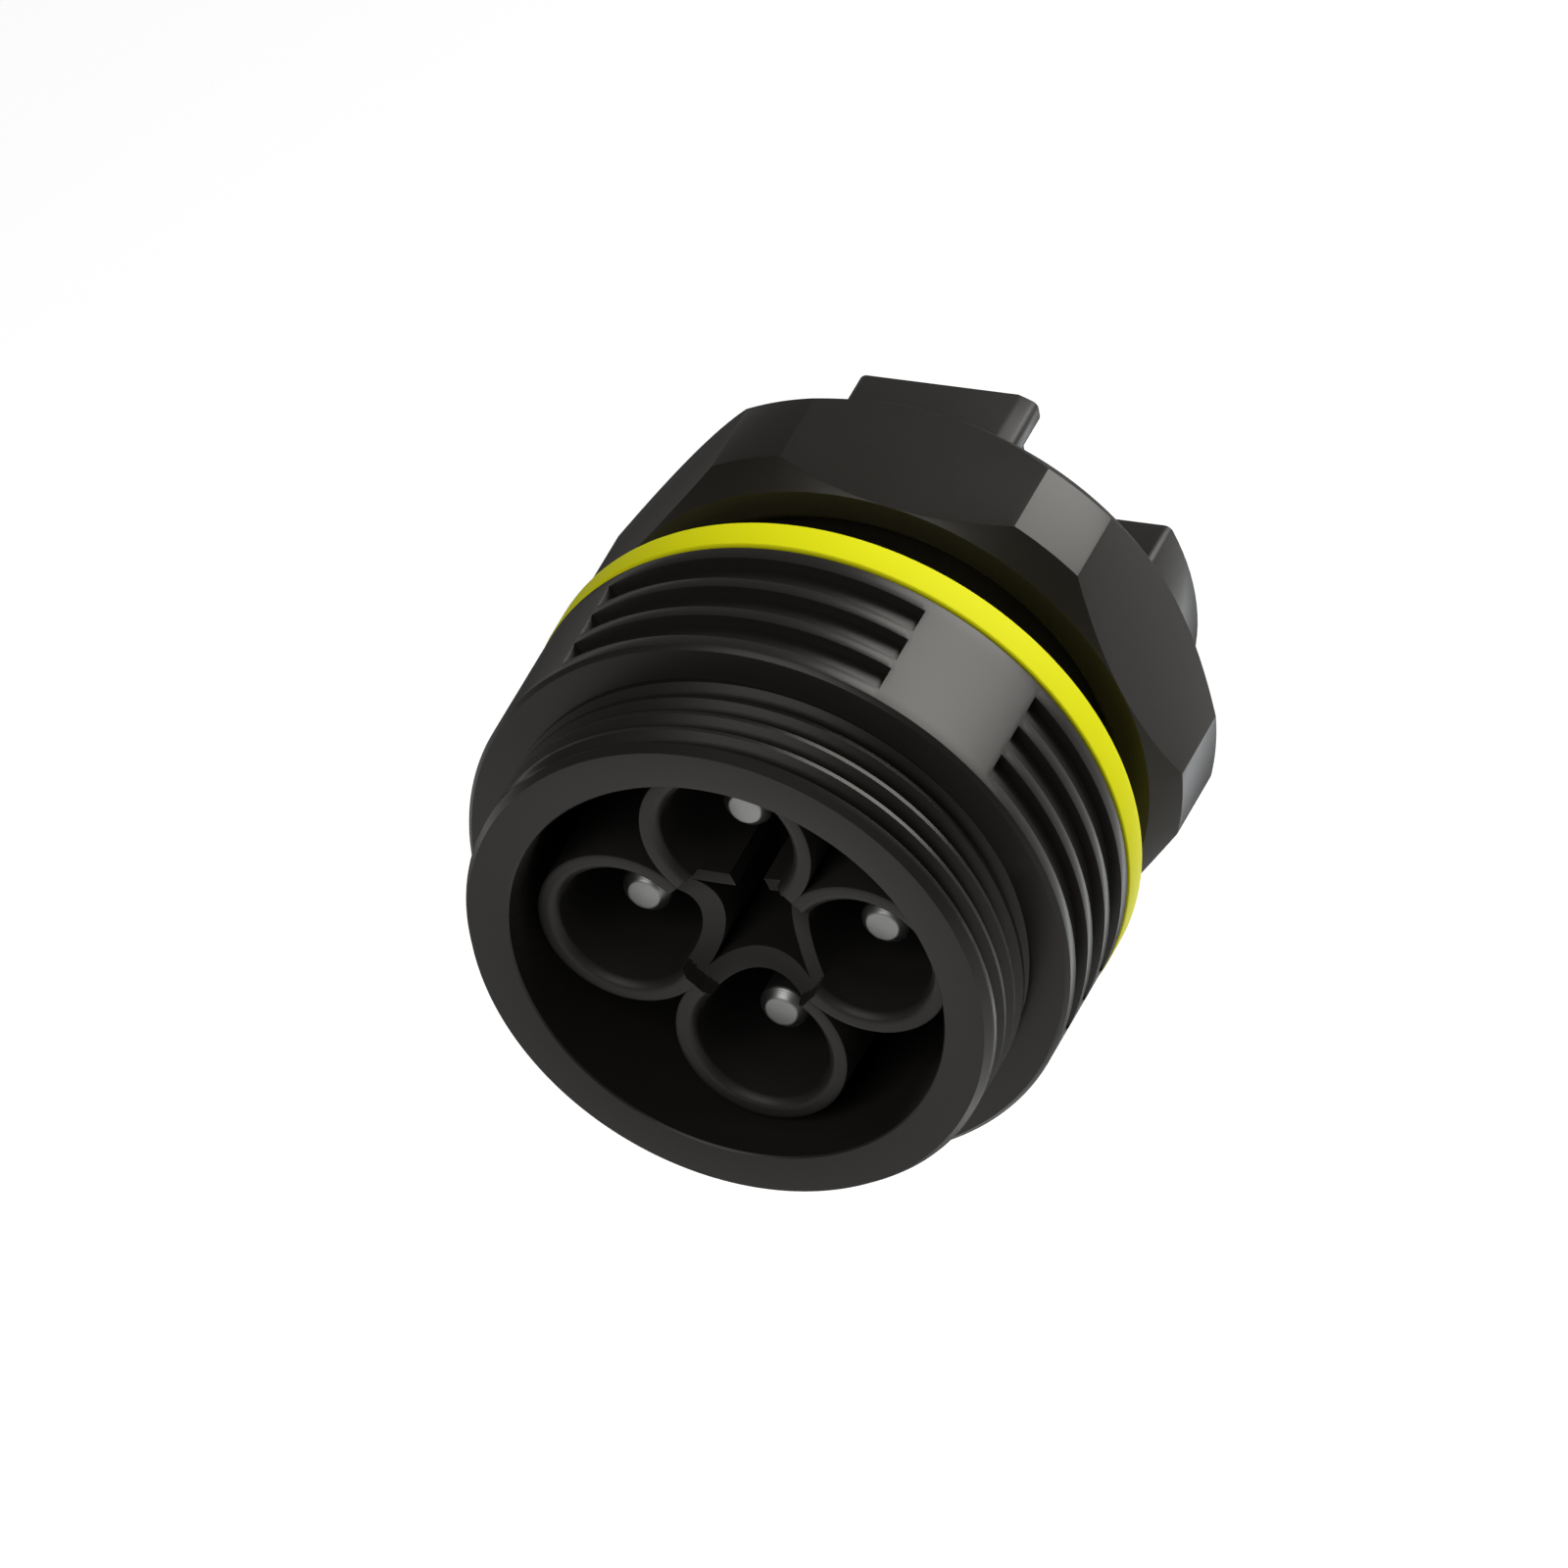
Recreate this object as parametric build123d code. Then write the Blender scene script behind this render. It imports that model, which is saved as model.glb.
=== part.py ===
from build123d import *
import math
import os

# Panel mount power connector: a four pin inlet with a threaded coupling sleeve, a yellow panel seal
# and a lock nut behind the panel. Everything is drawn about the local Z axis, with the panel seat at
# height 0, the mating side above it and the wiring side below it. At the end the whole model is laid
# over, so that the mating side faces -Y and the keyed tube is on top.

# Grip body, with rings of slots between four smooth pads
body_radius = 17.45
body_length = 9.0
body_chamfer = 0.3
slot_count = 3
slot_width = 1.8
slot_pitch = 2.54
slot_depth = 0.7
slot_centre_drop = 4.45
pad_count = 4
pad_width = 7.5
pad_turn = 48.3

# Coupling sleeve, where the mating connector goes on
shoulder_step = 2.15
sleeve_wall = 2.7
sleeve_length = 6.2
mouth_chamfer = 0.1
thread_pitch = 1.38
thread_depth = 0.75
thread_crest = 0.28
thread_lead_length = 0.6
thread_lead_drop = 0.35

# Stem, which passes through the panel
seat_step = 3.45
stem_wall = 3.0
stem_length = 12.6
stem_chamfer = 0.5

# Panel seal
seal_overhang = 0.05
seal_thickness = 2.0
seal_chamfer = 0.3
seal_fit = 0.1

# Lock nut
nut_wall = 3.6
nut_corner_turning = 1.3
nut_thickness = 6.55
nut_stand_off = 4.4
nut_bevel = 1.35
nut_turn = 47.75
thread_fit = 0.05

# Contact carrier: four joined tubes on a flange. It is one moulding, drawn as a base and four shrouds.
pole_count = 4
keyed_pole = 1
pole_share = 7 / 11
tube_merge = 0.05
tube_wall = 1.15
tube_chamfer = 0.35
carrier_setback = 2.56
carrier_floor_rise = 2.2
carrier_spigot_end = -1.5
carrier_fit = 0.1
scoop_inset = 2.3
scoop_depth = 2.2
scoop_ramp = 0.9
keyway_width = 2.0
pilot_depth = 4.4

# Ring seal between the carrier and the stem
ring_section = 1.16
ring_sides = 8
ring_centre_height = 0.2
ring_groove_width = 1.5
ring_fit = 0.02

# Contact pins
pin_radius = 1.4
pin_tip_drop = 5.47
pin_nose_radius = 0.93
pin_nose_length = 0.5
pin_collar_radius = 2.2
pin_collar_height = 1.2
pin_tail_radius = 1.2
pin_tail_length = 2.5
pin_fit = 0.04

# Terminal housing: four towers behind the stem
housing_clearance = 0.6
housing_reach = 6.55
housing_front_gap = 0.1
tower_wall = 1.0
flat_margin = 0.08
notch_round = 1.2
tower_edge_round = 0.5
guard_overhang = 1.3
guard_thickness = 1.8
guard_round = 0.55

# Terminal clamps, one metal block in each tower
clamp_extra_width = 0.2
clamp_flatness = 0.75
clamp_length = 8.5
clamp_recess = 1.0
clamp_fit = 0.05
wire_bore_radius = 1.9
wire_bore_depth = 5.0
wire_bore_chamfer = 0.3

# Screws
clamp_screw_radius = 1.25
clamp_screw_length = 2.3
clamp_screw_set_back = 2.4
clamp_screw_entry = 0.2
screw_slot_width = 0.5
screw_slot_depth = 0.7
head_slot_width = 0.7
head_slot_depth = 0.7
screw_fit = 0.02
screw_hole_fit = 0.15
assembly_screw_radius = 1.5
assembly_head_radius = 2.5
assembly_head_height = 1.8
assembly_head_round = 0.4
assembly_seat = -6.0
assembly_access_fit = 0.3

# How far a cut runs past the faces that it goes through
cut_over = 1.0

# How near to its worked out place a corner has to lie to be picked for rounding
corner_match = 0.01

# Radii and widths worked out from the sizes above
sleeve_radius = body_radius - shoulder_step
mouth_radius = sleeve_radius - sleeve_wall
seal_radius = body_radius + seal_overhang
stem_radius = body_radius - seat_step
stem_bore_radius = stem_radius - stem_wall
nut_corner_radius = stem_radius + nut_wall
nut_flat_radius = nut_corner_radius - nut_corner_turning
housing_radius = stem_radius - housing_clearance
pole_circle = stem_bore_radius * pole_share
tube_radius = pole_circle / math.sqrt(2) + tube_merge
tube_bore_radius = tube_radius - tube_wall
scoop_radius = pole_circle - scoop_inset
clamp_width = pole_circle + clamp_extra_width
clamp_height = clamp_width * clamp_flatness
tower_half_width = clamp_width / 2 + tower_wall
flat_height = math.sqrt(housing_radius ** 2 - tower_half_width ** 2) - flat_margin
guard_reach = tower_half_width + guard_overhang
assembly_access_radius = assembly_head_radius + assembly_access_fit

# Stations worked out from the sizes above
body_rear = seal_thickness
shoulder = body_rear + body_length
rim = shoulder + sleeve_length
stem_rear = -stem_length
nut_front = -nut_stand_off
nut_rear = nut_front - nut_thickness
carrier_front = rim - carrier_setback
carrier_floor = body_rear + carrier_floor_rise
scoop_floor = carrier_front - scoop_depth
pin_tip = rim - pin_tip_drop
collar_top = carrier_spigot_end + pin_collar_height
housing_front = carrier_spigot_end - housing_front_gap
housing_rear = stem_rear - housing_reach
clamp_rear = housing_rear + clamp_recess
clamp_front = clamp_rear + clamp_length
clamp_screw_height = clamp_rear + clamp_screw_set_back
pole_names = ["right", "top", "left", "bottom"]


def turned(points):
    """Solid of revolution about Z from (radius, height) corners."""
    return revolve(Plane.XZ * make_face(Polyline(*points, close=True)), Axis.Z)


def disc(radius, low, high):
    """Round bar about Z between two heights."""
    return Pos(0, 0, low) * extrude(Circle(radius), high - low)


def around(shape, count, first=0.0):
    """Copies of a shape, evenly turned about Z."""
    return [Rot(0, 0, first + 360 * step / count) * shape for step in range(count)]


def pole_angle(index):
    """Direction of one pole from the X axis."""
    return 360 * index / pole_count


def thread_grooves():
    """Rings of V grooves between the crests of the coupling thread, from the rim to the shoulder."""
    steepness = thread_depth / ((thread_pitch - thread_crest) / 2)
    grooves = []
    crest = rim - thread_lead_length
    while crest - shoulder > 2 * thread_crest:
        low = max(crest - thread_pitch, shoulder)
        half_width = (crest - low - thread_crest) / 2
        middle = (crest + low) / 2
        grooves.append(turned([
            (sleeve_radius, middle - half_width),
            (sleeve_radius - half_width * steepness, middle),
            (sleeve_radius, middle + half_width),
            (sleeve_radius + half_width, middle),
        ]))
        crest = low
    return grooves


def grip_slots():
    """Slots round the grip body, broken by the smooth pads."""
    pads = around(
        Pos(body_radius, 0, shoulder - body_length / 2) * Box(body_radius, pad_width, body_length * 2),
        pad_count,
        pad_turn,
    )
    slots = []
    for step in range(slot_count):
        middle = shoulder - slot_centre_drop + (step - (slot_count - 1) / 2) * slot_pitch
        low = middle - slot_width / 2
        high = middle + slot_width / 2
        ring = disc(body_radius + cut_over, low, high) - disc(body_radius - slot_depth, low, high)
        slots.append(ring - pads)
    return slots


def body_shell():
    """Moulded shell: coupling sleeve, grip body and stem in one piece."""
    shell = turned([
        (stem_bore_radius, stem_rear),
        (stem_radius - stem_chamfer, stem_rear),
        (stem_radius, stem_rear + stem_chamfer),
        (stem_radius, body_rear),
        (body_radius - body_chamfer, body_rear),
        (body_radius, body_rear + body_chamfer),
        (body_radius, shoulder - body_chamfer),
        (body_radius - body_chamfer, shoulder),
        (sleeve_radius, shoulder),
        (sleeve_radius, rim - thread_lead_length),
        (sleeve_radius - thread_lead_drop, rim),
        (mouth_radius + mouth_chamfer, rim),
        (mouth_radius, rim - mouth_chamfer),
        (mouth_radius, body_rear),
        (stem_bore_radius, body_rear),
    ])
    flat = Pos(0, flat_height + stem_radius, stem_rear / 2) * Box(
        stem_radius * 2, stem_radius * 2, stem_length
    )
    return shell - flat - thread_grooves() - grip_slots()


def panel_seal():
    """Flat ring seal with eased outer edges, seated behind the grip body."""
    return turned([
        (stem_radius + seal_fit, 0),
        (seal_radius - seal_chamfer, 0),
        (seal_radius, seal_chamfer),
        (seal_radius, seal_thickness - seal_chamfer),
        (seal_radius - seal_chamfer, seal_thickness),
        (stem_radius + seal_fit, seal_thickness),
    ])


def lock_nut():
    """Hexagon nut with turned corners and a bevel on its panel side."""
    blank = turned([
        (stem_radius + thread_fit, nut_rear),
        (nut_corner_radius, nut_rear),
        (nut_corner_radius, nut_front - nut_bevel),
        (nut_corner_radius - nut_bevel, nut_front),
        (stem_radius + thread_fit, nut_front),
    ])
    outline = Rot(0, 0, nut_turn) * RegularPolygon(nut_flat_radius, 6, major_radius=False)
    hexagon = Pos(0, 0, nut_rear) * extrude(outline, nut_thickness)
    return blank & hexagon


def carrier_tube():
    """Round tube of the first pole, with a bevelled bore mouth."""
    return Pos(pole_circle, 0, 0) * turned([
        (tube_bore_radius, carrier_floor),
        (tube_radius, carrier_floor),
        (tube_radius, carrier_front),
        (tube_bore_radius + tube_chamfer, carrier_front),
        (tube_bore_radius, carrier_front - tube_chamfer),
    ])


def pole_quarter():
    """Quarter round the first pole, bounded by the planes half way to its neighbours."""
    side = pole_circle + tube_radius
    return Rot(0, 0, -180 / pole_count) * Pos(side / 2, side / 2, (carrier_floor + carrier_front) / 2) * Box(
        side, side, carrier_front - carrier_floor
    )


def scoop():
    """Round cut with a sloping foot, which lowers the tube walls about the middle."""
    return turned([
        (0, scoop_floor),
        (scoop_radius - scoop_ramp, scoop_floor),
        (scoop_radius, scoop_floor + scoop_ramp),
        (scoop_radius, carrier_front + cut_over),
        (0, carrier_front + cut_over),
    ])


def contact_shroud(index):
    """Tube of one pole, lowered by the scoop, with the keyway in the keyed one."""
    shroud = (carrier_tube() & pole_quarter()) - scoop()
    if index == keyed_pole:
        shroud = shroud - Pos(pole_circle / 2, 0, (carrier_floor + carrier_front) / 2) * Box(
            pole_circle, keyway_width, carrier_front - carrier_floor
        )
    return Rot(0, 0, pole_angle(index)) * shroud


def carrier_base():
    """Flange and spigot that hold the pins and carry the shrouds."""
    flange = disc(mouth_radius - carrier_fit, body_rear, carrier_floor)
    spigot = disc(stem_bore_radius - carrier_fit, carrier_spigot_end, body_rear)
    pilot = disc(assembly_screw_radius + screw_fit, carrier_spigot_end, carrier_spigot_end + pilot_depth)
    pin_hole = Pos(pole_circle, 0, 0) * disc(pin_radius + pin_fit, carrier_spigot_end, carrier_floor)
    collar_seat = Pos(pole_circle, 0, 0) * disc(
        pin_collar_radius + pin_fit, carrier_spigot_end, collar_top
    )
    base = flange + spigot - pilot - ring_groove()
    return base - around(pin_hole, pole_count) - around(collar_seat, pole_count)


def ring_groove():
    """Groove in the spigot for the ring seal."""
    floor_radius = stem_bore_radius - ring_section - 2 * ring_fit
    low = ring_centre_height - ring_groove_width / 2
    high = ring_centre_height + ring_groove_width / 2
    return disc(stem_bore_radius, low, high) - disc(floor_radius, low, high)


def carrier_seal():
    """Ring seal in the groove, just inside the stem bore."""
    section_radius = ring_section / 2
    path_radius = stem_bore_radius - ring_fit - section_radius
    section = Pos(path_radius, ring_centre_height) * RegularPolygon(section_radius, ring_sides)
    return revolve(Plane.XZ * section, Axis.Z)


def contact_pin(index):
    """Turned pin with a bevelled nose, a collar and a thinner tail in its clamp."""
    pin = turned([
        (0, pin_tip),
        (pin_nose_radius, pin_tip),
        (pin_radius, pin_tip - pin_nose_length),
        (pin_radius, collar_top),
        (pin_collar_radius, collar_top),
        (pin_collar_radius, carrier_spigot_end),
        (pin_radius, carrier_spigot_end),
        (pin_radius, clamp_front),
        (pin_tail_radius, clamp_front),
        (pin_tail_radius, clamp_front - pin_tail_length),
        (0, clamp_front - pin_tail_length),
    ])
    return Rot(0, 0, pole_angle(index)) * Pos(pole_circle, 0, 0) * pin


def tower_outline():
    """Outline of the four towers, with the flat and the guard of the top one."""
    bar = Pos(housing_radius / 2, 0) * Rectangle(housing_radius, tower_half_width * 2)
    guard_low = flat_height - guard_thickness
    guard = Pos(guard_reach / 2, (guard_low + housing_radius) / 2) * Rectangle(
        guard_reach, housing_radius - guard_low
    )
    cross = Sketch() + around(bar, pole_count) + guard
    above = Pos(0, flat_height + housing_radius) * Rectangle(housing_radius * 2, housing_radius * 2)
    outline = (cross & Circle(housing_radius)) - above
    inner = outline.vertices().filter_by(
        lambda v: abs(abs(v.X) - tower_half_width) < corner_match
        and abs(abs(v.Y) - tower_half_width) < corner_match
    )
    outline = fillet(inner, notch_round)
    guard_ends = outline.vertices().filter_by(lambda v: abs(v.X - guard_reach) < corner_match and v.Y > 0)
    outline = fillet(guard_ends, guard_round)
    outer = outline.vertices().filter_by(
        lambda v: min(abs(abs(v.X) - tower_half_width), abs(abs(v.Y) - tower_half_width)) < corner_match
        and math.hypot(v.X, v.Y) > housing_radius - 2 * flat_margin
    )
    return fillet(outer, tower_edge_round)


def clamp_chamber():
    """Square chamber of one tower, open at the rear."""
    width = clamp_width + 2 * clamp_fit
    height = clamp_height + 2 * clamp_fit
    return Pos(pole_circle, 0, (housing_rear + clamp_front) / 2) * Box(
        height, width, clamp_front - housing_rear
    )


def flank_hole():
    """Screw hole in the flank of the first tower."""
    bore = extrude(Circle(clamp_screw_radius + screw_hole_fit), tower_half_width)
    return Pos(pole_circle, 0, clamp_screw_height) * Rot(90, 0, 0) * bore


def terminal_housing():
    """Moulded rear insulator: a neck inside the stem and four towers behind it."""
    neck = disc(stem_bore_radius - carrier_fit, stem_rear, housing_front)
    towers = Pos(0, 0, housing_rear) * extrude(tower_outline(), housing_reach)
    pin_hole = Pos(pole_circle, 0, 0) * disc(pin_radius + pin_fit, clamp_front, housing_front)
    access = disc(assembly_access_radius, housing_rear, assembly_seat)
    shank_hole = disc(assembly_screw_radius + screw_hole_fit, assembly_seat, housing_front)
    housing = neck + towers - access - shank_hole
    for cut in (clamp_chamber(), flank_hole(), pin_hole):
        housing = housing - around(cut, pole_count)
    return housing


def terminal_clamp(index):
    """Metal block with a wire bore at the rear, a screw hole at its side and a hole for the pin."""
    block = Pos(pole_circle, 0, (clamp_rear + clamp_front) / 2) * Box(
        clamp_height, clamp_width, clamp_length
    )
    wire_bore = turned([
        (0, clamp_rear),
        (wire_bore_radius + wire_bore_chamfer, clamp_rear),
        (wire_bore_radius, clamp_rear + wire_bore_chamfer),
        (wire_bore_radius, clamp_rear + wire_bore_depth),
        (0, clamp_rear + wire_bore_depth),
    ])
    tail_hole = disc(pin_tail_radius + screw_fit, clamp_front - pin_tail_length, clamp_front)
    screw_hole = Pos(pole_circle, 0, clamp_screw_height) * Rot(90, 0, 0) * extrude(
        Circle(clamp_screw_radius + screw_fit), clamp_width / 2
    )
    block = block - Pos(pole_circle, 0, 0) * wire_bore - Pos(pole_circle, 0, 0) * tail_hole - screw_hole
    return Rot(0, 0, pole_angle(index)) * block


def terminal_screw(index):
    """Slotted set screw, backed out clear of the wire bore."""
    slot = Pos(0, 0, clamp_screw_length) * Box(
        clamp_screw_radius * 2 + cut_over, screw_slot_width, screw_slot_depth * 2
    )
    screw = extrude(Circle(clamp_screw_radius), clamp_screw_length) - slot
    start = wire_bore_radius + clamp_screw_entry
    screw = Pos(pole_circle, -start, clamp_screw_height) * Rot(90, 0, 0) * screw
    return Rot(0, 0, pole_angle(index)) * screw


def assembly_screw():
    """Central screw that draws the carrier and the terminal housing together."""
    tip = carrier_spigot_end + pilot_depth - assembly_head_round
    head_low = assembly_seat - assembly_head_height
    screw = turned([
        (0, head_low),
        (assembly_head_radius - assembly_head_round, head_low),
        (assembly_head_radius, head_low + assembly_head_round),
        (assembly_head_radius, assembly_seat),
        (assembly_screw_radius, assembly_seat),
        (assembly_screw_radius, tip - assembly_screw_radius / 2),
        (assembly_screw_radius / 2, tip),
        (0, tip),
    ])
    slot = Pos(0, 0, head_low) * Box(
        assembly_head_radius * 2 + cut_over, head_slot_width, head_slot_depth * 2
    )
    return screw - slot


def main():
    parts = {
        "body_shell": body_shell(),
        "panel_seal": panel_seal(),
        "lock_nut": lock_nut(),
        "carrier_base": carrier_base(),
        "carrier_seal": carrier_seal(),
        "terminal_housing": terminal_housing(),
        "assembly_screw": assembly_screw(),
        "terminal_screws": Compound([terminal_screw(index) for index in range(pole_count)]),
    }
    for index in range(pole_count):
        parts["contact_shroud_" + pole_names[index]] = contact_shroud(index)
        parts["contact_pin_" + pole_names[index]] = contact_pin(index)
        parts["terminal_clamp_" + pole_names[index]] = terminal_clamp(index)
    os.makedirs("parts", exist_ok=True)
    lay_over = Rot(90, 0, 0)
    for name, shape in parts.items():
        export_step(lay_over * shape, "parts/" + name + ".step")


main()
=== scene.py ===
"""Panel mount power connector: fine shapes, finishes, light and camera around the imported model."""

import math

import bmesh
import bpy
from mathutils import Matrix, Vector


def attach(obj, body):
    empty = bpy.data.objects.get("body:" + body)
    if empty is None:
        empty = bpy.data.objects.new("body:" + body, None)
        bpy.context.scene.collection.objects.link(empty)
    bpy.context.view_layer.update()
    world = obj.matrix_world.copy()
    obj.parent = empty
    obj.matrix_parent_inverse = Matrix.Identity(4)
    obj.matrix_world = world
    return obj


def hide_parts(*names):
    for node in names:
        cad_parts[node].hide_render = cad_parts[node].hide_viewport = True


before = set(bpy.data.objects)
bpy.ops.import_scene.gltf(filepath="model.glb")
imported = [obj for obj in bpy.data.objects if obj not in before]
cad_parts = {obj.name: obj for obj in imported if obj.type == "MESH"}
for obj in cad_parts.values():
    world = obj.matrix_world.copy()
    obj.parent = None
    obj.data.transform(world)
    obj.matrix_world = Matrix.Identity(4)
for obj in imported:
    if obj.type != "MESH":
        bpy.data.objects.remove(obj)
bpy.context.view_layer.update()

# Shapes are made in millimetres about the local Z axis, with the panel seat at height 0 and the mating
# side above it, and laid over into the frame when they are finished.
MM = 0.001
LAY_OVER = Matrix.Rotation(math.radians(90), 4, "X") @ Matrix.Scale(MM, 4)
FULL_TURN = math.radians(360)
FINE_STEPS = 256
PIN_STEPS = 64
MERGE_DISTANCE = 0.0005
CUT_DISTANCE = 0.0001

# Angles in degrees: edges that get a round, edges that stay sharp in the shading, and faces that count as
# one flat face
ROUND_ANGLE = 30
NUT_ROUND_ANGLE = 20
COPY_ROUND_ANGLE = 35
SHARP_ANGLE = 35
SHELL_SHARP_ANGLE = 28
CARRIER_SHARP_ANGLE = 30
FLAT_ANGLE = 1

# Finishes: the scales of the patterns are per metre, and the heights of their relief are in metres
FLOW_SCALE = 140
FLOW_DETAIL = 4
GRAIN_DETAIL = 3
GRAIN_HEIGHT = 0.00002
RING_SCALE = 2600
RING_DISTORTION = 1.5
RING_HEIGHT = 0.00001
STAIN_SCALE = 700
STAIN_DETAIL = 5
PLASTIC_IOR = 1.5
PLASTIC_SPECULAR = 0.27

# Layer Weight's facing value at which moulded plastic starts to turn matt, where that ends, and how rough
# it then is
GLANCE_START = 0.5
GLANCE_END = 0.9
GLANCE_ROUGHNESS = 0.9

# Shell. Behind the rim the thread's crests taper over the lead length, and its groove fades out where the
# groove's middle comes within the end depth of the rim.
SLEEVE_RADIUS = 15.3
RIM = 17.2
SHOULDER = 11.0
MOUTH_RADIUS = 12.6
MOUTH_CHAMFER = 0.1
THREAD_PITCH = 1.4
THREAD_DEPTH = 0.75
THREAD_CREST = 0.26
THREAD_ROOT = 0.16
THREAD_LEAD_LENGTH = 0.6
THREAD_LEAD_DROP = 0.35
THREAD_TURN = 83
THREAD_END_DEPTH = 0.92
THREAD_FADE = 0.2
THREAD_STEPS = 360
FLANK_STEPS = 7
BODY_RADIUS = 17.45
BODY_REAR = 2.0
BODY_CHAMFER = 0.25
SLOT_CENTRE = 6.55
SLOT_PITCH = 2.54
SLOT_WIDTH = 1.8
SLOT_COUNT = 3
SLOT_DEPTH = 0.7
PAD_COUNT = 4
PAD_HALF_ANGLE = 12.4
PAD_ANGLE = 48.3
STEM_RADIUS = 14.0
STEM_REAR = -12.6
STEM_CHAMFER = 0.5
STEM_BORE = 11.0
STEM_FLAT = 12.506
SHELL_ROUND = 0.09

# Seal and nut. The nut's rear is where its turned corners end; its rear bevel goes on behind that.
SEAL_RADIUS = 17.5
SEAL_THICKNESS = 2.0
SEAL_BORE = 14.1
SEAL_ROUND = 0.14
NUT_FLAT = 16.22
NUT_CORNER = 17.6
NUT_FRONT = -4.4
NUT_REAR = -10.95
NUT_BEVEL = 1.4
NUT_REAR_BEVEL = 1.7
NUT_ANGLE = 48.0
NUT_BORE = 14.05
NUT_BORE_CHAMFER = 0.6
NUT_ROUND = 0.12
NUT_SIDES = 6
NUT_FLAT_STEPS = 44
NUT_CORNER_STEPS = 14

# Contact carrier. A tube's mouth has a small round outside, a flat rim with extra rings that let the scoop
# bend it, and a chamfer inside whose two ends are eased.
POLES = {"right": 0, "top": 90, "left": 180, "bottom": 270}
POLE_CIRCLE = 7.0
TUBE_RADIUS = 5.0
TUBE_BORE = 3.85
TUBE_CHAMFER = 0.35
TUBE_STEPS = 288
TUBE_SINK = 0.3
TUBE_ROUND = 0.1
TUBE_ROUND_MIDDLE = 0.03
TUBE_RIM_INSETS = (0.3, 0.5)
TUBE_EASE = 0.04
TUBE_EASE_TOP_DROP = 0.06
TUBE_EASE_LOW_DROP = 0.12
CARRIER_FRONT = 14.64
CARRIER_FLOOR = 4.2
CARRIER_FLANGE = 12.5
SPIGOT_RADIUS = 10.9
SPIGOT_LOW = -1.5
SCOOP_RADIUS = 4.7
SCOOP_DEPTH = 2.72
SCOOP_BOWL_RADIUS = 6.5
SCOOP_MARGIN = 0.6
KEYWAY_HALF = 1.0

# Pins
PIN_RADIUS = 1.4
PIN_TIP = 11.73
PIN_NOSE_RADIUS = 0.93
PIN_NOSE_LENGTH = 0.5
PIN_COLLAR_RADIUS = 2.2
PIN_COLLAR_TOP = -0.3
PIN_COLLAR_LOW = -1.5
PIN_SHOULDER = -9.65
PIN_TAIL_RADIUS = 1.2
PIN_END = -12.15
PIN_ROUND = 0.12

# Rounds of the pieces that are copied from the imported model
HOUSING_ROUND = 0.1
CLAMP_ROUND = 0.06
CLAMP_SCREW_ROUND = 0.05
CENTRE_SCREW_ROUND = 0.06

# Direction of view, from the photograph: right, and towards the camera
VIEW_RIGHT = Vector((0.9208, 0.3638, -0.1407)).normalized()
VIEW_BACK = Vector((0.3707, -0.7038, 0.6061)).normalized()
VIEW_UP = VIEW_BACK.cross(VIEW_RIGHT).normalized()
VIEW_SHIFT_RIGHT = 3.11
VIEW_SHIFT_UP = 10.21
VIEW_WIDTH = 84.5

# Studio, in metres and watts
VIEW_DISTANCE = 2.0
VIEW_END = 20
SENSOR = 36.0
FLOOR_HEIGHT = -0.25
FLOOR_SIZE = 6.0
FLOOR_TONE = 0.8
FLOOR_GLOW = 0.54
WORLD_LEVEL = 0.14
KEY_LAMP = {"direction": (0.485, 0.7, 0.52), "distance": 0.5, "size": 0.36, "power": 3.0}
FRONT_LAMP = {"direction": (-0.1, -0.75, 0.65), "distance": 0.8, "size": 0.5, "power": 2.2}
LOW_BACK_LAMP = {"direction": (0.09, 0.7, -0.7), "distance": 0.33, "size": 0.13, "power": 0.2,
                 "color": (0.9, 0.95, 1.0)}


# Mesh tools

def profile_mesh(points, closed=True):
    """New bmesh with one outline in the XZ plane, given as (radius, height) corners."""
    bm = bmesh.new()
    verts = [bm.verts.new((radius, 0, height)) for radius, height in points]
    for first, second in zip(verts, verts[1:]):
        bm.edges.new((first, second))
    if closed:
        bm.edges.new((verts[-1], verts[0]))
    return bm


def spin_profile(bm, steps=FINE_STEPS, rise=0.0):
    """Turns the outline once about Z, climbing by rise on the way."""
    bmesh.ops.spin(
        bm,
        geom=bm.verts[:] + bm.edges[:],
        cent=(0, 0, 0),
        axis=(0, 0, 1),
        dvec=(0, 0, rise / steps),
        angle=FULL_TURN,
        steps=steps,
        use_merge=rise == 0.0,
    )
    bmesh.ops.remove_doubles(bm, verts=bm.verts[:], dist=MERGE_DISTANCE)


def sharp_edges(bm, degrees=ROUND_ANGLE):
    """Edges where two faces meet at more than an angle."""
    limit = math.radians(degrees)
    return [edge for edge in bm.edges if len(edge.link_faces) == 2 and edge.calc_face_angle() > limit]


def soften(bm, edges, width, segments=2):
    """Small round along edges."""
    bmesh.ops.bevel(
        bm,
        geom=edges,
        offset=width,
        offset_type="OFFSET",
        segments=segments,
        profile=0.5,
        affect="EDGES",
        clamp_overlap=True,
        material=-1,
    )


def lathe(points, steps=FINE_STEPS, round_width=0.0, segments=2):
    """Closed turned shape, with small rounds along its sharp corners where a width is given."""
    bm = profile_mesh(points)
    spin_profile(bm, steps)
    bmesh.ops.recalc_face_normals(bm, faces=bm.faces[:])
    if round_width:
        soften(bm, sharp_edges(bm), round_width, segments)
    return bm


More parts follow.
